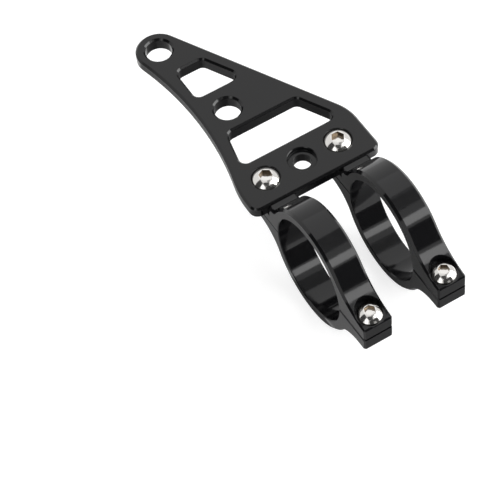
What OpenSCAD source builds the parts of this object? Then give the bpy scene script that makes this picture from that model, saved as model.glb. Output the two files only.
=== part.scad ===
// Headlight mounting bracket: a flat plate carried by two split clamps on one fork tube.
// Millimetres. The origin is the axis of the fork tube, midway between the clamps.
// X runs along the tube, Y from the tube towards the lamp, Z up through the plate.

/* [Fork tube] */

// Diameter of the tube that the clamps close on
fork_d = 41; // [35:0.5:50]
// Distance between the two clamps, centre to centre
clamp_pitch = 31.5; // [26:0.5:36]

/* [Clamps] */

// Width of a clamp along the tube
clamp_w = 12; // [11.5:0.5:16]
// Wall of the ring round the tube
ring_wall = 4.3; // [3.5:0.1:6]
// Chamfer along the outside edges of the ring
ring_edge = 1; // [0.4:0.1:1.4]
// Chamfer along the edges of the lugs and tabs
lug_edge = 0.6; // [0.3:0.1:0.7]
// Edge break where the two halves of a clamp meet, and at the bore
parting_edge = 0.3; // [0.1:0.05:0.4]
// Open gap between the upper and the lower lug
pinch_gap = 1; // [0.6:0.1:2]
// Distance from the outside of the ring to the pinch screw
pinch_offset = 6.9; // [6.4:0.1:9]
// Metal beyond the pinch screw, to the end of the lug
lug_margin = 5.5; // [5.2:0.1:7]
// Height of the upper lug above the parting plane
upper_lug_h = 5.5; // [4.6:0.1:6.5]
// Height of the lower lug below the parting plane
lower_lug_h = 6; // [5:0.1:8]
// Radius of the sweep from the ring down to the upper lug
upper_sweep = 28; // [20:1:32]
// Radius of the sweep from the ring to the lower lug and the lower tab
lower_sweep = 15; // [10:1:18]
// Thickness of the upper tab, under the plate
upper_tab_h = 4.1; // [3.6:0.1:6]
// Height of the ledge in front of the plate, above the parting plane
ledge_h = 9.3; // [7.5:0.1:9.5]
// Radius of the sweep from the ring to the ledge
ledge_sweep = 3; // [2:0.5:5]
// Play between the ledge and the front wall of the plate
seat_play = 0.2; // [0.1:0.05:0.4]
// Thickness of the lower tab
lower_tab_h = 4.6; // [4:0.1:6]
// Metal beyond the plate screw, to the end of the tabs
tab_margin = 6.8; // [6:0.1:8]

/* [Plate] */

// Thickness of the plate
plate_t = 6; // [5:0.5:8]
// Width of the plate beyond the middle of each clamp
plate_margin = 12; // [10.5:0.25:16]
// Distance between the ring and the front wall of the plate
plate_clearance = 1.6; // [1.2:0.1:4]
// Distance from the front wall to the row of counterbored holes
row_margin = 11.3; // [10.5:0.1:14]
// Radius of the two front corners
front_corner_r = 3.5; // [3:0.5:6]
// Radius where the long slanted side begins
shoulder_r = 20; // [16:1:24]
// Distance from the row to the beginning of the long slanted side
shoulder_start = 5.8; // [4:0.2:7]
// Radius where the hollow long side begins
hollow_start_r = 43; // [38:1:48]
// Distance from the row to the beginning of the hollow long side
hollow_start = -5.6; // [-6.4:0.2:-4]
// Radius of the hollow long side
hollow_r = 136; // [124:4:200]
// Chamfer along the edges of the plate
plate_edge = 0.8; // [0.3:0.1:1]
// Chamfer along the outside edge of the underside of the plate
under_edge = 1.8; // [0.8:0.1:2]
// Sideways offset of the lamp hole from the middle of the row
lamp_x = -17.1; // [-19:0.1:-14]
// Distance of the lamp hole from the row
lamp_reach = 76.2; // [74:0.1:90]
// Radius of the rounded end about the lamp hole
lamp_end_r = 9; // [8.2:0.1:11]
// Sideways offset of the second hole
mid_x = -10.2; // [-12:0.2:-8]
// Distance of the second hole from the row
mid_reach = 36.4; // [35.4:0.1:37.4]
// Diameter of the lamp hole and of the second hole
lamp_hole_d = 10.4; // [8:0.1:11]

/* [Windows] */

// Metal between the slanted side and the windows
slant_rib = 5; // [4:0.1:6.5]
// Distance from the row to the near edge of the large window
large_start = 10; // [9.4:0.1:12]
// Length of the large window
large_l = 16.3; // [12:0.1:17]
// Left corners of the large window, near and far
large_left_near = -20; // [-20.6:0.1:-16]
large_left_far = -16.6; // [-17:0.1:-12]
// Distance from the row to the near edge of the small window
small_start = 47.3; // [46.5:0.1:49]
// Length of the small window
small_l = 15.8; // [12:0.1:16.6]
// Left side of the small window
small_left = -17.3; // [-17.5:0.1:-15]
// Radius in the corners of the windows
window_corner_r = 2.8; // [2:0.1:4]

/* [Screws] */

// Thread diameter of the plate screws
plate_screw_d = 6; // [5:1:6]
// Length of the plate screws under the head
plate_screw_l = 12; // [10:0.5:13]
// Depth of the counterbores in the plate
counterbore_depth = 1.5; // [1:0.1:2.5]
// Thread diameter of the pinch screws
pinch_screw_d = 5; // [4:1:5]
// Length of the pinch screws under the head
pinch_screw_l = 10; // [8:0.5:10.5]
// Play of a screw in a clearance hole, on the diameter
hole_play = 1; // [0.4:0.1:1]
// Play of a screw in its thread, on the diameter
thread_play = 0.04; // [0.04:0.02:0.1]
// Play of a screw head in its counterbore, on the diameter
head_play = 0.5; // [0.3:0.1:1]

/* [Hidden] */

$fn = 96;
over = 0.2;
fineness = 0.012;

ring_r = fork_d / 2 + ring_wall;
front_y = ring_r + plate_clearance;
row_y = front_y + row_margin;
tab_y = row_y + tab_margin;
pinch_y = ring_r + pinch_offset;
lug_y = pinch_y + lug_margin;
clamp_x = clamp_pitch / 2;
plate_w = clamp_pitch + 2 * plate_margin;
seat_y = front_y - seat_play;
plate_top = upper_tab_h + plate_t;

// Button head screws: diameter, height and hexagon socket of the head for each thread
plate_head_d = 1.75 * plate_screw_d;
plate_head_h = 0.55 * plate_screw_d;
pinch_head_d = 1.9 * pinch_screw_d;
pinch_head_h = 0.55 * pinch_screw_d;
socket_ratio = 0.75;
socket_depth_ratio = 0.72;
counterbore_d = plate_head_d + head_play;
spotface_d = pinch_head_d + 1.7;

aluminium = [0.12, 0.12, 0.13];
stainless = [0.78, 0.78, 0.8];

// Part to draw, or all of them together

// Outlines. Each is a list of points [x, y, edge]; inset times edge moves a point inwards.

function direction(a) = [cos(a), sin(a)];

function steps(r, sweep) =
    max(2, ceil(abs(sweep) * PI / 180 / sqrt(8 * fineness / max(abs(r), 1))));

// Arc by the angles of its outward normal; a hollow arc has a negative radius
function arc(c, r, a0, a1, e0, e1, inset, first, last, n) =
    [for (i = [first:last])
        let (e = e0 + (e1 - e0) * i / n,
             p = c + (r - inset * e) * direction(a0 + (a1 - a0) * i / n))
        [p.x, p.y, e]];

// Direction of the outward normal of the straight from one peg [centre, radius] to the next
function straight(a, b) =
    let (d = b[0] - a[0])
    atan2(d.y, d.x) - acos(max(-1, min(1, (a[1] - b[1]) / norm(d))));

function positive(a) = a - 360 * floor(a / 360);

function peg_sweep(a0, a1, r) = r > 0 ? positive(a1 - a0) : -positive(a0 - a1);

// Closed line round a list of pegs, anticlockwise
function belt(pegs, edge, inset) =
    [for (i = [0:len(pegs) - 1])
        let (peg = pegs[i],
             a0 = straight(pegs[(i + len(pegs) - 1) % len(pegs)], peg),
             a1 = straight(peg, pegs[(i + 1) % len(pegs)]),
             sweep = peg_sweep(a0, a1, peg[1]),
             n = steps(peg[1], sweep),
             hollow = peg[1] < 0 ? 1 : 0)
        each arc(peg[0], peg[1], a0, a0 + sweep, edge, edge, inset, hollow, n - hollow, n)];

// Point at distance ra from a and rb from b, on the left of the way from a to b
function meeting(a, ra, b, rb) =
    let (d = b - a, l = norm(d), u = d / l,
         s = (ra * ra - rb * rb + l * l) / (2 * l))
    a + s * u + sqrt(ra * ra - s * s) * [-u.y, u.x];

// Crossing of the straights with outward normals m and n at distances f and g from the origin
function crossing(m, f, n, g) =
    let (d = m.x * n.y - m.y * n.x)
    [(f * n.y - g * m.y) / d, (g * m.x - f * n.x) / d];

// Pegs that round off the corners of a convex outline given anticlockwise
function rounded(corners, r) =
    [for (i = [0:len(corners) - 1])
        let (c = corners[i],
             back = corners[(i + len(corners) - 1) % len(corners)] - c,
             on = corners[(i + 1) % len(corners)] - c,
             u = back / norm(back), v = on / norm(on),
             half = acos(u * v) / 2,
             middle = (u + v) / norm(u + v))
        [c + middle * r / sin(half), r]];

function mean(points) = [for (k = [0:1]) [for (p = points) 1] * [for (p = points) p[k]] / len(points)];

// Solid of height t over an outline, its edges falling away to the lower and the upper outline.
// The faces are filled by the pieces given, each a run of points that turns anticlockwise.
module bevelled(outer, lowest, highest, t, pieces, extra = []) {
    n = len(outer);
    rows = [
        for (p = lowest) [p.x, p.y, 0],
        for (i = [0:n - 1]) [outer[i].x, outer[i].y, lowest[i].z],
        for (p = outer) [p.x, p.y, t - p.z],
        for (p = highest) [p.x, p.y, t],
        for (p = extra) [p.x, p.y, 0],
        for (p = extra) [p.x, p.y, t]
    ];
    sides = [
        for (k = [0:2]) for (i = [0:n - 1])
            let (a = k * n + i, b = k * n + (i + 1) % n)
            each [[a, a + n, b + n], [a, b + n, b]]
    ];
    lower = [for (f = pieces) [for (i = f) i < n ? i : i + 3 * n]];
    upper = [for (f = pieces) [for (i = f) i < n ? i + 3 * n : i + 3 * n + len(extra)]];
    turned_over = [for (f = upper) [for (i = [len(f) - 1:-1:0]) f[i]]];
    polyhedron(rows, concat(sides, lower, turned_over), convexity = 6);
}

// Bevelled solid over an outline that is all in sight of the point hub
module slab(outer, lowest, highest, hub, t) {
    n = len(outer);
    bevelled(outer, lowest, highest, t, [for (i = [0:n - 1]) [n, i, (i + 1) % n]], [hub]);
}

function turns_left(a, b, c) = (b.x - a.x) * (c.y - a.y) - (b.y - a.y) * (c.x - a.x) > 0;

// Bevelled solid over an outline whose second half runs back beside the first
module band(outer, inner, t) {
    n = len(outer);
    bevelled(outer, inner, inner, t, [
        for (i = [0:n / 2 - 2])
            let (a = i, b = i + 1, c = n - 2 - i, d = n - 1 - i)
            each turns_left(inner[a], inner[b], inner[c])
                ? [[a, b, c], [a, c, d]]
                : [[a, b, d], [b, c, d]]
    ]);
}

// Plate

row = [0, row_y];
lamp = [lamp_x, row_y + lamp_reach];
mid = [mid_x, row_y + mid_reach];
left_corner = [front_corner_r - plate_w / 2, front_y + front_corner_r];
right_corner = [plate_w / 2 - front_corner_r, front_y + front_corner_r];
shoulder = [plate_w / 2 - shoulder_r, row_y + shoulder_start];
hollow_shoulder = [hollow_start_r - plate_w / 2, row_y + hollow_start];
hollow = meeting(hollow_shoulder, hollow_r + hollow_start_r, lamp, hollow_r + lamp_end_r);

plate_pegs = [
    [left_corner, front_corner_r],
    [right_corner, front_corner_r],
    [shoulder, shoulder_r],
    [lamp, lamp_end_r],
    [hollow, -hollow_r],
    [hollow_shoulder, hollow_start_r]
];

slant = direction(straight(plate_pegs[2], plate_pegs[3]));
slant_wall = slant * lamp + lamp_end_r - slant_rib;

function slanted(y) = crossing(slant, slant_wall, [0, 1], y);

large_near = row_y + large_start;
large_far = large_near + large_l;
small_near = row_y + small_start;
small_far = small_near + small_l;

large_window = [
    [large_left_near, large_near], slanted(large_near),
    slanted(large_far), [large_left_far, large_far]
];
small_window = [
    [small_left, small_near], slanted(small_near),
    slanted(small_far), [small_left, small_far]
];

module window(corners) {
    pegs = rounded(corners, window_corner_r);
    edge = plate_edge + over;
    mouth = belt(pegs, edge, -1);
    translate([0, 0, -over])
        slab(belt(pegs, edge, 0), mouth, mouth, mean(corners), plate_t + 2 * over);
}

// Round hole from z = 0 up to h, with an edge break at the top and, if asked, at the bottom
module hole(d, h, edge, both = true) {
    translate([0, 0, -over])
        cylinder(d = d, h = h + 2 * over);
    translate([0, 0, h - edge])
        cylinder(d1 = d, d2 = d + 2 * (edge + over), h = edge + over);
    if (both)
        translate([0, 0, -over])
            cylinder(d1 = d + 2 * (edge + over), d2 = d, h = edge + over);
}

module plate() {
    color(aluminium)
    translate([0, 0, upper_tab_h])
    difference() {
        slab(belt(plate_pegs, plate_edge, 0), belt(plate_pegs, under_edge, 1),
             belt(plate_pegs, plate_edge, 1), mid, plate_t);
        window(large_window);
        window(small_window);
        for (p = [lamp, mid])
            translate(p)
                hole(lamp_hole_d, plate_t, plate_edge);
        for (x = [-clamp_x, 0, clamp_x])
            translate([x, row_y, 0]) {
                hole(plate_screw_d + hole_play, plate_t, parting_edge);
                translate([0, 0, plate_t - counterbore_depth])
                    hole(counterbore_d, counterbore_depth + over / 2, parting_edge + over / 2, false);
            }
    }
}

// Clamps

// Centre of a sweep of radius r that leaves the ring and runs out level at height h
function sweep_centre(r, h) = [sqrt(pow(ring_r + r, 2) - pow(h + r, 2)), h + r];

// Outside of half a clamp seen along the tube, from the end of the tab over the ring to the lug.
// The ring sweeps out to step_h, which is above the tab where there is a ledge.
function half_outside(tab_h, step_h, tab_r, lug_h, lug_r, inset) =
    let (t = sweep_centre(tab_r, step_h),
         m = sweep_centre(lug_r, lug_h),
         l = [-m.x, m.y],
         at = atan2(t.y, t.x),
         al = atan2(l.y, l.x),
         d = inset * lug_edge,
         q = inset * ring_edge,
         p = inset * parting_edge,
         k = d * (sqrt(2) - 1),
         stepped = step_h > tab_h,
         tab_level = !stepped || t.x < seat_y - ring_edge,
         a0 = tab_level ? 90 : acos((t.x - seat_y + q) / (tab_r + q)),
         lug_end = l.x + lug_y - lug_edge,
         lug_level = lug_end > lug_edge,
         ae = lug_level ? 90 : acos((lug_end - k) / (lug_r + d)),
         end_h = lug_level ? lug_h : l.y - sqrt(lug_r * lug_r - lug_end * lug_end),
         nt = steps(tab_r, at - 90),
         nr = steps(ring_r, al - at),
         nl = steps(lug_r, al - 90))
    [
        [tab_y - d, p, lug_edge],
        [tab_y - d, tab_h - d, lug_edge],
        if (stepped) [seat_y - q, tab_h - d, lug_edge],
        if (stepped && tab_level) [seat_y - q, step_h - q, ring_edge],
        each arc(t, -tab_r, a0, at, ring_edge, ring_edge, inset, 0, nt - 1, nt),
        each arc([0, 0], ring_r, at, al, ring_edge, ring_edge, inset, 0, nr, nr),
        each arc(l, -lug_r, al, ae, ring_edge, lug_edge, inset, 1, nl, nl),
        if (lug_level) [lug_edge + k - lug_y, lug_h - d, lug_edge],
        [d - lug_y, end_h - lug_edge - k, lug_edge],
        [d - lug_y, pinch_gap / 2 + p, lug_edge]
    ];

// The same line closed by its way back, just inside the bore, from the lug to the tab
function half_outline(tab_h, step_h, tab_r, lug_h, lug_r, inset) =
    let (plain = half_outside(tab_h, step_h, tab_r, lug_h, lug_r, 0),
         last = len(plain) - 1,
         r = fork_d / 2 - 1,
         p = inset * parting_edge)
    [
        each half_outside(tab_h, step_h, tab_r, lug_h, lug_r, inset),
        [-r, pinch_gap / 2 + p, parting_edge],
        for (i = [last - 1:-1:1])
            let (c = r * direction(atan2(plain[i].y, plain[i].x)))
            [c.x, c.y, parting_edge],
        [r, p, parting_edge]
    ];

module along_tube() {
    rotate([90, 0, 90])
        translate([0, 0, -clamp_w / 2])
            children();
}

module half_clamp(tab_h, step_h, tab_r, lug_h, lug_r) {
    difference() {
        along_tube()
            band(half_outline(tab_h, step_h, tab_r, lug_h, lug_r, 0),
                 half_outline(tab_h, step_h, tab_r, lug_h, lug_r, 1), clamp_w);
        along_tube()
            rotate([0, 0, -90])
                hole(fork_d, clamp_w, parting_edge);
    }
}

module clamp_upper() {
    color(aluminium)
    difference() {
        half_clamp(upper_tab_h, ledge_h, ledge_sweep, upper_lug_h, upper_sweep);
        translate([0, row_y, -over])
            cylinder(d = plate_screw_d + hole_play, h = upper_tab_h + 2 * over);
        translate([0, -pinch_y, 0])
            cylinder(d = pinch_screw_d + hole_play, h = upper_lug_h + over);
        translate([0, -pinch_y, upper_lug_h])
            cylinder(d = spotface_d, h = ring_r);
    }
}

module clamp_lower() {
    color(aluminium)
    difference() {
        mirror([0, 0, 1])
            half_clamp(lower_tab_h, lower_tab_h, lower_sweep, lower_lug_h, lower_sweep);
        translate([0, row_y, -lower_tab_h - over])
            cylinder(d = plate_screw_d + thread_play, h = lower_tab_h + 2 * over);
        translate([0, -pinch_y, -lower_lug_h - over])
            cylinder(d = pinch_screw_d + thread_play, h = lower_lug_h + 2 * over);
    }
}

module left_clamp_upper() { translate([-clamp_x, 0, 0]) clamp_upper(); }

module left_clamp_lower() { translate([-clamp_x, 0, 0]) clamp_lower(); }

module right_clamp_upper() { translate([clamp_x, 0, 0]) clamp_upper(); }

module right_clamp_lower() { translate([clamp_x, 0, 0]) clamp_lower(); }

// Button head screws

// Screw hanging from z = 0, the underside of its head
module button_screw(d, l, head_d, head_h) {
    socket = socket_ratio * d;
    socket_r = socket / sqrt(3);
    depth = socket_depth_ratio * head_h;
    rim = 0.12 * head_h;
    flat_r = socket_r + 0.05 * head_d;
    tip = 0.12 * d;
    bands = 10;
    dome = [
        for (i = [0:bands])
            let (a = 90 * i / bands)
            [flat_r + (head_d / 2 - flat_r) * cos(a), rim + (head_h - rim) * sin(a)]
    ];
    color(stainless)
    difference() {
        rotate_extrude()
            polygon(concat([[0, -l], [d / 2 - tip, -l], [d / 2, tip - l], [d / 2, 0], [head_d / 2, 0]],
                           dome, [[0, head_h]]));
        translate([0, 0, head_h - depth])
            cylinder(r = socket_r, h = depth + over, $fn = 6);
    }
}

module plate_screw(x, turned) {
    translate([x, row_y, plate_top - counterbore_depth])
        rotate([0, 0, turned])
            button_screw(plate_screw_d, plate_screw_l, plate_head_d, plate_head_h);
}

module pinch_screw(x, turned) {
    translate([x, -pinch_y, upper_lug_h])
        rotate([0, 0, turned])
            button_screw(pinch_screw_d, pinch_screw_l, pinch_head_d, pinch_head_h);
}

module left_plate_screw() { plate_screw(-clamp_x, 26); }

module right_plate_screw() { plate_screw(clamp_x, -2); }

module left_pinch_screw() { pinch_screw(-clamp_x, 10); }

module right_pinch_screw() { pinch_screw(clamp_x, 25); }

plate();
left_clamp_upper();
left_clamp_lower();
right_clamp_upper();
right_clamp_lower();
left_plate_screw();
right_plate_screw();
left_pinch_screw();
right_pinch_screw();
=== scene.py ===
import math

import bmesh
import bpy
from mathutils import Matrix, Vector


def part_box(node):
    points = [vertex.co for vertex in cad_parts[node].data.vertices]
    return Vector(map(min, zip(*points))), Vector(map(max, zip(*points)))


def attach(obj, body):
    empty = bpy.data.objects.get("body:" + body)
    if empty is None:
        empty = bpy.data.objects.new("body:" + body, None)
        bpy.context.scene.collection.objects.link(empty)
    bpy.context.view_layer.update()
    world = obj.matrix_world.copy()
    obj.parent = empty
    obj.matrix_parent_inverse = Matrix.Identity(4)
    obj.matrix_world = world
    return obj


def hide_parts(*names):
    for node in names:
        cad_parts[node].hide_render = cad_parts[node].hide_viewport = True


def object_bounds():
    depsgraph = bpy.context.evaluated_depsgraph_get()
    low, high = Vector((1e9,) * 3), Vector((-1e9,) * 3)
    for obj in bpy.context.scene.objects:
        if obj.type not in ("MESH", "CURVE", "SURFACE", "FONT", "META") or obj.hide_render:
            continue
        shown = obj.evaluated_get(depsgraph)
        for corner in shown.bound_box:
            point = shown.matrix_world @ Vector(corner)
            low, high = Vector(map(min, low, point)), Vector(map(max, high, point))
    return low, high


millimetre = 0.001  # the frame is in metres
sameSpot = 1e-7  # metres within which two corners are one
edgeSteps = 2  # faces across each rounded edge

bpy.context.scene.view_settings.view_transform = "Standard"
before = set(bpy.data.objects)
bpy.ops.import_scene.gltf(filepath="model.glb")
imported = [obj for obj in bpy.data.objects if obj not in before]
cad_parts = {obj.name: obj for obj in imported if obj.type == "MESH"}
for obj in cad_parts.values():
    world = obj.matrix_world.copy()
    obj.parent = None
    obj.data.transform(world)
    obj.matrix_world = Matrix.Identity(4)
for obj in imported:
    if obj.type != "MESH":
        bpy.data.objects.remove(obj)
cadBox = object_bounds()
print("frame loaded")


def makeFinish(name, finish):
    material = bpy.data.materials.new(name)
    material.use_nodes = True
    nodes = material.node_tree.nodes
    links = material.node_tree.links
    shader = nodes["Principled BSDF"]
    shader.inputs["Base Color"].default_value = (*finish["colour"], 1.0)
    shader.inputs["Metallic"].default_value = finish["metallic"]
    shader.inputs["IOR"].default_value = finish["ior"]
    place = nodes.new("ShaderNodeTexCoord")
    grain = nodes.new("ShaderNodeTexNoise")
    grain.inputs["Scale"].default_value = finish["grainScale"]
    grain.inputs["Detail"].default_value = finish["grainDetail"]
    links.new(place.outputs["Object"], grain.inputs["Vector"])
    spread = nodes.new("ShaderNodeMapRange")
    spread.inputs["To Min"].default_value = finish["roughness"] * (1.0 - finish["grainSpread"])
    spread.inputs["To Max"].default_value = finish["roughness"] * (1.0 + finish["grainSpread"])
    links.new(grain.outputs["Fac"], spread.inputs["Value"])
    links.new(spread.outputs["Result"], shader.inputs["Roughness"])
    bump = nodes.new("ShaderNodeBump")
    bump.inputs["Strength"].default_value = finish["grainStrength"]
    bump.inputs["Distance"].default_value = finish["grainDepth"]
    links.new(grain.outputs["Fac"], bump.inputs["Height"])
    links.new(bump.outputs["Normal"], shader.inputs["Normal"])
    return material


def giveFinish(node, material):
    # The plain solid has the finish too, for when the copy that replaces it is left out
    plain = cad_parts[node].data
    plain.materials.clear()
    plain.materials.append(material)


def finishPiece(shape, node, ending, materials, softness=0.0):
    # Smooth where the surface runs on, sharp at the real edges
    sharpBend = math.radians(26)
    for face in shape.faces:
        face.smooth = True
    for edge in shape.edges:
        edge.smooth = edge.is_manifold and edge.calc_face_angle(0.0) < sharpBend
    mesh = bpy.data.meshes.new(node + ending)
    shape.to_mesh(mesh)
    shape.free()
    piece = bpy.data.objects.new(node + ending, mesh)
    for material in materials:
        piece.data.materials.append(material)
    bpy.context.scene.collection.objects.link(piece)
    if softness:
        softEdge = piece.modifiers.new("softEdge", "BEVEL")
        softEdge.limit_method = "ANGLE"
        softEdge.angle_limit = sharpBend
        softEdge.width = softness
        softEdge.segments = edgeSteps
        softEdge.use_clamp_overlap = True
    flats = piece.modifiers.new("flats", "WEIGHTED_NORMAL")
    flats.keep_sharp = True
    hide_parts(node)
    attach(piece, "root")


def closeRiser(shape, node, ledge):
    # The ledge runs its full width up to the plate: its side chamfers end there
    low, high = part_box(node)
    middle = (low.x + high.x) / 2
    half = (high.x - low.x) / 2
    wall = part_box("plate")[0].y - ledge["play"] * millimetre
    foot, top, chamfer, left, near = (
        ledge[key] * millimetre for key in ("foot", "top", "chamfer", "chamferLeft", "near"))
    for corner in shape.verts:
        if not foot < corner.co.z < top:
            continue
        side = corner.co.x - middle
        if abs(abs(side) - half) < near and abs(corner.co.y - (wall - chamfer)) < near:
            corner.co.y = wall - left
        elif half - chamfer + near < abs(side) < half - near and abs(corner.co.y - wall) < near:
            corner.co.x = middle + math.copysign(half - left, side)


def makeSmooth(node, material, spec, hasLedge=False):
    # A merged copy of the node, because a node's own mesh is loose triangles
    giveFinish(node, material)
    shape = bmesh.new()
    shape.from_mesh(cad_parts[node].data)
    bmesh.ops.remove_doubles(shape, verts=shape.verts, dist=sameSpot)
    if hasLedge:
        closeRiser(shape, node, spec["ledge"])
    bmesh.ops.remove_doubles(shape, verts=shape.verts, dist=spec["mergeWithin"] * millimetre)
    bmesh.ops.dissolve_limit(shape, angle_limit=math.radians(spec["flatWithin"]),
                             verts=shape.verts, edges=shape.edges)
    finishPiece(shape, node, "_smooth", [material], spec["softness"] * millimetre)


# Colours are linear. A grain's scale is per metre and its depth in metres. Edges, merging and
# the ledge are in millimetres, and "flatWithin" is in degrees
plate = {  # satin black
    "colour": (0.004, 0.004, 0.0043), "metallic": 0.0, "ior": 1.40, "roughness": 0.14,
    "grainScale": 2600.0, "grainDetail": 3.0, "grainSpread": 0.12,
    "grainDepth": 0.000012, "grainStrength": 0.25,
    "softness": 0.14, "mergeWithin": 0.04, "flatWithin": 0.4,
}
plateBlack = makeFinish("plateBlack", plate)
makeSmooth("plate", plateBlack, plate)
print("plate made")

clamps = {  # gloss black
    "colour": (0.004, 0.004, 0.0045), "metallic": 0.0, "ior": 1.42, "roughness": 0.09,
    "grainScale": 420.0, "grainDetail": 3.0, "grainSpread": 0.25,
    "grainDepth": 0.00003, "grainStrength": 0.25,
    "softness": 0.14, "mergeWithin": 0.04, "flatWithin": 0.4,
    "ledge": {
        "play": 0.2, "foot": 3.2, "top": 8.8, "chamfer": 1.0, "chamferLeft": 0.1, "near": 0.03},
}
clampBlack = makeFinish("clampBlack", clamps)
for side in ("left", "right"):
    makeSmooth(side + "_clamp_upper", clampBlack, clamps, hasLedge=True)
    makeSmooth(side + "_clamp_lower", clampBlack, clamps)
print("clamps made")


def edgesAt(shape, height, openOnly=False):
    found = []
    for edge in shape.edges:
        level = all(abs(corner.co.z - height) < sameSpot for corner in edge.verts)
        if level and (edge.is_boundary or not openOnly):
            found.append(edge)
    return found


def roundEdges(shape, edges, width):
    bmesh.ops.bevel(shape, geom=edges, offset=width, offset_type="OFFSET", segments=edgeSteps,
                    profile=0.5, affect="EDGES", material=-1, clamp_overlap=True)


def makeHead(head):
    # Underside at z = 0; side, spherical dome, flat, then the hexagon socket
    shape = bmesh.new()
    radius = head["headDiameter"] / 2
    socketRadius = head["socket"] / math.sqrt(3)
    flatRadius = socketRadius + head["flat"]
    domeFoot = head["rim"]
    domeTop = head["headHeight"]
    rise = domeTop - domeFoot
    centre = (flatRadius ** 2 + domeTop ** 2 - radius ** 2 - domeFoot ** 2) / (2 * rise)
    turn = math.atan2(domeTop - centre, flatRadius) - math.atan2(domeFoot - centre, radius)
    foot = shape.verts.new((radius, 0.0, 0.0))
    brim = shape.verts.new((radius, 0.0, domeFoot))
    shape.edges.new((foot, brim))
    bmesh.ops.spin(shape, geom=[brim], cent=(0.0, 0.0, centre), axis=(0.0, 1.0, 0.0),
                   angle=-turn, steps=head["domeSteps"])
    bmesh.ops.spin(shape, geom=shape.verts[:] + shape.edges[:], cent=(0.0, 0.0, 0.0),
                   axis=(0.0, 0.0, 1.0), angle=2 * math.pi, steps=6 * head["facets"],
                   use_merge=True)
    bmesh.ops.remove_doubles(shape, verts=shape.verts, dist=sameSpot)
    flatEdges = edgesAt(shape, domeTop, openOnly=True)

    atTop = Matrix.Translation((0.0, 0.0, domeTop)) @ Matrix.Rotation(math.pi / 2, 4, "Z")
    hexagon = bmesh.ops.create_circle(shape, cap_ends=False, radius=socketRadius, segments=6,
                                      matrix=atTop)["verts"]
    sides = [edge for edge in shape.edges if all(corner in hexagon for corner in edge.verts)]
    bmesh.ops.subdivide_edges(shape, edges=sides, cuts=head["facets"] - 1)
    mouth = [edge for edge in edgesAt(shape, domeTop) if edge not in flatEdges]
    bmesh.ops.bridge_loops(shape, edges=flatEdges + mouth)
    wall = bmesh.ops.extrude_edge_only(shape, edges=mouth)["geom"]
    bmesh.ops.translate(shape, vec=(0.0, 0.0, -head["socketDepth"]),
                        verts=[part for part in wall if isinstance(part, bmesh.types.BMVert)])
    for part in wall:
        if isinstance(part, bmesh.types.BMFace):
            part.material_index = 1  # the socket walls, darkened with painted shade
    bottom = edgesAt(shape, domeTop - head["socketDepth"], openOnly=True)
    bed = bmesh.ops.contextual_create(shape, geom=bottom)["faces"]
    for face in bed:
        face.material_index = 0
    bmesh.ops.inset_region(shape, faces=bed, thickness=head["bedRim"], use_even_offset=True)
    drilled = bmesh.ops.poke(shape, faces=bed)["verts"]
    bmesh.ops.translate(shape, vec=(0.0, 0.0, -head["drillDepth"]), verts=drilled)
    bmesh.ops.contextual_create(shape, geom=edgesAt(shape, 0.0, openOnly=True))
    roundEdges(shape, mouth, head["mouthEdge"])
    roundEdges(shape, edgesAt(shape, 0.0), head["footEdge"])
    bmesh.ops.recalc_face_normals(shape, faces=shape.faces)
    return shape


def makeThread(stem, form):
    # One tooth wound up as a helix, cut square at both ends and chamfered at the tip
    shape = bmesh.new()
    pitch = stem["pitch"]
    outer = stem["diameter"] / 2
    root = outer - form["depth"] * pitch
    flank = (1.0 - form["rootFlat"] - form["crestFlat"]) / 2
    crest = form["rootFlat"] + flank
    outline = [(root, 0.0), (root, form["rootFlat"]), (outer, crest),
               (outer, crest + form["crestFlat"]), (root, 1.0)]
    start = -stem["length"] - form["spareTurns"] * pitch
    corners = [shape.verts.new((reach, 0.0, start + share * pitch)) for reach, share in outline]
    for first, second in zip(corners, corners[1:]):
        shape.edges.new((first, second))
    turns = math.ceil((stem["length"] + stem["tuck"]) / pitch + form["spareTurns"] + 1.0)
    steps = form["stepsPerTurn"]
    bmesh.ops.spin(shape, geom=shape.verts[:] + shape.edges[:], cent=(0.0, 0.0, 0.0),
                   axis=(0.0, 0.0, 1.0), dvec=(0.0, 0.0, pitch / steps),
                   angle=2 * math.pi * turns, steps=steps * turns)
    bmesh.ops.remove_doubles(shape, verts=shape.verts, dist=form["mergeWithin"] * millimetre)
    for height, side in ((stem["tuck"], 1.0), (-stem["length"], -1.0)):
        bmesh.ops.bisect_plane(shape, geom=shape.verts[:] + shape.edges[:] + shape.faces[:],
                               dist=sameSpot, plane_co=(0.0, 0.0, height),
                               plane_no=(0.0, 0.0, side), clear_outer=True)
    bmesh.ops.holes_fill(shape, edges=[edge for edge in shape.edges if edge.is_boundary], sides=0)
    for corner in shape.verts:
        above = corner.co.z + stem["length"]
        widest = outer - max(stem["tip"] - above, 0.0)
        reach = corner.co.xy.length
        if reach > widest:
            corner.co.xy *= widest / reach
    bmesh.ops.recalc_face_normals(shape, faces=shape.faces)
    return shape


def makeScrew(node, spec, turned):
    giveFinish(node, screwSteel)
    sizes = {key: size if key in ("facets", "domeSteps") else size * millimetre
             for key, size in spec.items()}
    shape = makeHead(sizes)
    stem = makeThread(sizes, threadForm)
    stemMesh = bpy.data.meshes.new("stem")
    stem.to_mesh(stemMesh)
    stem.free()
    shape.from_mesh(stemMesh)
    bpy.data.meshes.remove(stemMesh)
    low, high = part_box(node)
    seat = ((low.x + high.x) / 2, (low.y + high.y) / 2, high.z - sizes["headHeight"])
    bmesh.ops.rotate(shape, cent=(0.0, 0.0, 0.0), verts=shape.verts,
                     matrix=Matrix.Rotation(math.radians(turned), 3, "Z"))
    bmesh.ops.translate(shape, vec=seat, verts=shape.verts)
    finishPiece(shape, node, "_threaded", [screwSteel, socketShadedSteel])


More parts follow.
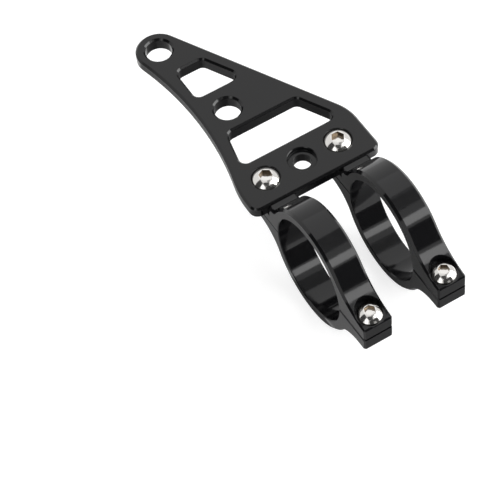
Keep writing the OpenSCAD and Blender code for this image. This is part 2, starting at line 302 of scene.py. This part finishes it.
# Button head screws with hexagon sockets, in millimetres, in place of the plain ones.
# "facets" and "domeSteps" are counts: faces along each side of the socket, and up the dome
plateScrew = {
    "diameter": 6.0, "pitch": 1.0, "length": 12.0, "tip": 0.75, "tuck": 0.15,
    "headDiameter": 10.5, "headHeight": 3.3, "rim": 1.1, "flat": 0.12, "footEdge": 0.12,
    "socket": 4.5, "socketDepth": 1.95, "mouthEdge": 0.1, "bedRim": 0.35, "drillDepth": 0.3,
    "facets": 8, "domeSteps": 10,
}
pinchScrew = {
    "diameter": 5.0, "pitch": 0.8, "length": 10.0, "tip": 0.6, "tuck": 0.15,
    "headDiameter": 9.5, "headHeight": 2.75, "rim": 0.6, "flat": 0.12, "footEdge": 0.12,
    "socket": 3.75, "socketDepth": 1.6, "mouthEdge": 0.1, "bedRim": 0.3, "drillDepth": 0.25,
    "facets": 8, "domeSteps": 10,
}
threadForm = {  # shares of the pitch, counts, then millimetres
    "depth": 0.6134, "rootFlat": 0.25, "crestFlat": 0.125,
    "stepsPerTurn": 32, "spareTurns": 1.5, "mergeWithin": 0.002,
}
screwTurns = {  # degrees that each socket is turned in the photograph
    "left_plate_screw": 26, "right_plate_screw": -2,
    "left_pinch_screw": 10, "right_pinch_screw": 25,
}
brightSteel = {
    "colour": (0.68, 0.665, 0.64), "metallic": 1.0, "ior": 1.5, "roughness": 0.11,
    "grainScale": 1500.0, "grainDetail": 3.0, "grainSpread": 0.3,
    "grainDepth": 0.00001, "grainStrength": 0.1,
}
socketShadeWalls = {  # painted shade: the socket walls darker and browner than the head's steel
    "colour": (0.19, 0.14, 0.09), "metallic": 1.0, "ior": 1.5, "roughness": 0.3,
    "grainScale": 1500.0, "grainDetail": 3.0, "grainSpread": 0.3,
    "grainDepth": 0.00002, "grainStrength": 0.2,
}
screwSteel = makeFinish("screwSteel", brightSteel)
# The socket walls get the same steel, darkened with painted shade
socketShadedSteel = makeFinish("socketShadedSteel", socketShadeWalls)
for node, turned in screwTurns.items():
    makeScrew(node, plateScrew if "plate" in node else pinchScrew, turned)
print("screws made")

# The photograph's camera: a place in metres, three unit directions, a focal length in pixels
photoCamera = {
    "place": (-0.25934, -0.42808, 0.68599),
    "right": (0.85036, -0.52252, -0.0622),
    "down": (-0.45474, -0.67022, -0.58653),
    "forward": (0.26478, 0.52705, -0.80753),
    "focalPixels": 2329.87,
    "framePixels": 500,
    "sensorWidth": 36.0,
    "clipStart": 0.01,
}
cameraData = bpy.data.cameras.new("photoCamera")
cameraData.sensor_fit = "HORIZONTAL"
cameraData.sensor_width = photoCamera["sensorWidth"]
perPixel = photoCamera["sensorWidth"] / photoCamera["framePixels"]
cameraData.lens = photoCamera["focalPixels"] * perPixel
cameraData.clip_start = photoCamera["clipStart"]
cameraObject = bpy.data.objects.new("photoCamera", cameraData)
bpy.context.scene.collection.objects.link(cameraObject)
right, down, forward = (Vector(photoCamera[key]) for key in ("right", "down", "forward"))
axes = Matrix((right, -down, -forward)).transposed().to_4x4()
cameraObject.matrix_world = Matrix.Translation(Vector(photoCamera["place"])) @ axes
bpy.context.scene.camera = cameraObject
print("camera set")


def facing(spec):
    # A place around the object that looks back at it
    azimuth = math.radians(spec["azimuth"])
    elevation = math.radians(spec["elevation"])
    level = math.cos(elevation)
    outwards = Vector((level * math.cos(azimuth), level * math.sin(azimuth), math.sin(elevation)))
    place = aim + outwards * spec["distance"]
    return Matrix.Translation(place) @ (aim - place).to_track_quat("-Z", "Y").to_matrix().to_4x4()


def addSoftbox(name, spec):
    lamp = bpy.data.lights.new(name, "AREA")
    lamp.shape = "RECTANGLE"
    lamp.size = spec["width"]
    lamp.size_y = spec["height"]
    lamp.energy = spec["watts"]
    softbox = bpy.data.objects.new(name, lamp)
    softbox.matrix_world = facing(spec)
    bpy.context.scene.collection.objects.link(softbox)


def addSheet(name, spec, place):
    # A flat sheet of plain grey; returns its object and its shader's node tree
    paint = bpy.data.materials.new(name)
    paint.use_nodes = True
    shader = paint.node_tree.nodes["Principled BSDF"]
    shader.inputs["Base Color"].default_value = (spec["colour"],) * 3 + (1.0,)
    shader.inputs["Roughness"].default_value = spec["roughness"]
    shape = bmesh.new()
    bmesh.ops.create_grid(shape, x_segments=1, y_segments=1, size=0.5)
    bmesh.ops.scale(shape, vec=(spec["width"], spec["height"], 1.0), verts=shape.verts)
    bmesh.ops.transform(shape, matrix=place, verts=shape.verts)
    mesh = bpy.data.meshes.new(name)
    shape.to_mesh(mesh)
    shape.free()
    sheet = bpy.data.objects.new(name, mesh)
    sheet.data.materials.append(paint)
    bpy.context.scene.collection.objects.link(sheet)
    return sheet, paint.node_tree


def addCard(name, spec, place):
    # Shades nothing: it is seen in reflections only
    card = addSheet(name + "Card", spec, place)[0]
    card.visible_camera = False
    card.visible_diffuse = False
    card.visible_shadow = False


def addSeenStrength(tree, plain, seen):
    # 'seen' towards the camera and in reflections, 'plain' as light
    path = tree.nodes.new("ShaderNodeLightPath")
    first = tree.nodes.new("ShaderNodeMath")
    first.operation = "MAXIMUM"
    tree.links.new(path.outputs["Is Camera Ray"], first.inputs[0])
    tree.links.new(path.outputs["Is Glossy Ray"], first.inputs[1])
    second = tree.nodes.new("ShaderNodeMath")
    second.operation = "MAXIMUM"
    tree.links.new(first.outputs[0], second.inputs[0])
    tree.links.new(path.outputs["Is Transmission Ray"], second.inputs[1])
    strength = tree.nodes.new("ShaderNodeMapRange")
    strength.inputs["To Min"].default_value = plain
    strength.inputs["To Max"].default_value = seen
    tree.links.new(second.outputs[0], strength.inputs["Value"])
    return strength.outputs["Result"]


# Studio, in metres, degrees and watts: azimuth is from +X, and lamps and cards face 'aim'
aim = Vector((0.0, 0.02, 0.0))
softboxes = {
    "overhead": {"azimuth": 60, "elevation": 58, "distance": 1.1,
                 "width": 1.1, "height": 0.8, "watts": 0.8},
    "frontStrip": {"azimuth": -56, "elevation": 47, "distance": 1.0,
                   "width": 0.4, "height": 0.2, "watts": 0.9},
    "rightWindow": {"azimuth": -30, "elevation": 24, "distance": 1.1,
                    "width": 0.8, "height": 0.8, "watts": 12.0},
    "leftStrip": {"azimuth": -148, "elevation": 27, "distance": 1.1,
                  "width": 0.38, "height": 0.66, "watts": 0.9},
}
for name, spec in softboxes.items():
    addSoftbox(name, spec)

darkCards = {
    "front": {"azimuth": -91, "elevation": 12, "distance": 1.15,
              "width": 1.52, "height": 1.2, "colour": 0.05, "roughness": 1.0},
    "frontGrey": {"azimuth": -86, "elevation": 8, "distance": 1.1,
                  "width": 0.36, "height": 0.5, "colour": 0.45, "roughness": 1.0},
    "upper": {"azimuth": -40, "elevation": 72, "distance": 1.15,
              "width": 0.9, "height": 0.34, "colour": 0.4, "roughness": 1.0},
    "left": {"azimuth": 174, "elevation": 27, "distance": 1.15,
             "width": 0.75, "height": 1.3, "colour": 0.05, "roughness": 1.0},
    "behindCamera": {"azimuth": -120, "elevation": 51, "distance": 1.15,
                     "width": 0.8, "height": 0.56, "colour": 0.08, "roughness": 1.0},
}
for name, spec in darkCards.items():
    addCard(name, spec, facing(spec))

shadowCards = {  # just under the object, seen in reflections only: a dark painted shadow under the whole object, and a lighter painted shade left of it
    "footprintShadow": {"x": 0.006, "y": 0.025, "below": 0.0003,
                  "width": 0.06, "height": 0.19, "colour": 0.3, "roughness": 1.0},
    "leftShade": {"x": -0.05, "y": 0.03, "below": 0.0003,
                 "width": 0.051, "height": 0.21, "colour": 0.6, "roughness": 1.0},
}
# Each card is painted shadow or shade on the floor, seen in reflections only
for name, spec in shadowCards.items():
    place = (spec["x"], spec["y"], cadBox[0].z - spec["below"])
    addCard(name, spec, Matrix.Translation(place))
print("lamps and cards set")

surroundings = {"colour": (1.0, 1.0, 1.0, 1.0), "light": 0.8, "seen": 1.0}
world = bpy.data.worlds.new("studio")
bpy.context.scene.world = world
world.use_nodes = True
background = world.node_tree.nodes["Background"]
background.inputs["Color"].default_value = surroundings["colour"]
skyStrength = addSeenStrength(world.node_tree, surroundings["light"], surroundings["seen"])
world.node_tree.links.new(skyStrength, background.inputs["Strength"])

floor = {  # nearly white of itself where it is seen, so that only the shadow shows
    "below": 0.0006, "width": 3.0, "height": 3.0, "colour": 0.5, "roughness": 0.9,
    "ownColour": (1.0, 1.0, 1.0, 1.0), "ownLight": 0.0, "ownSeen": 0.66,
}
floorPlace = Matrix.Translation((0.0, 0.0, cadBox[0].z - floor["below"]))
paperTree = addSheet("floor", floor, floorPlace)[1]
paper = paperTree.nodes["Principled BSDF"]
paper.inputs["Specular IOR Level"].default_value = 0.0
paper.inputs["Emission Color"].default_value = floor["ownColour"]
paperStrength = addSeenStrength(paperTree, floor["ownLight"], floor["ownSeen"])
paperTree.links.new(paperStrength, paper.inputs["Emission Strength"])
print("world and floor set")
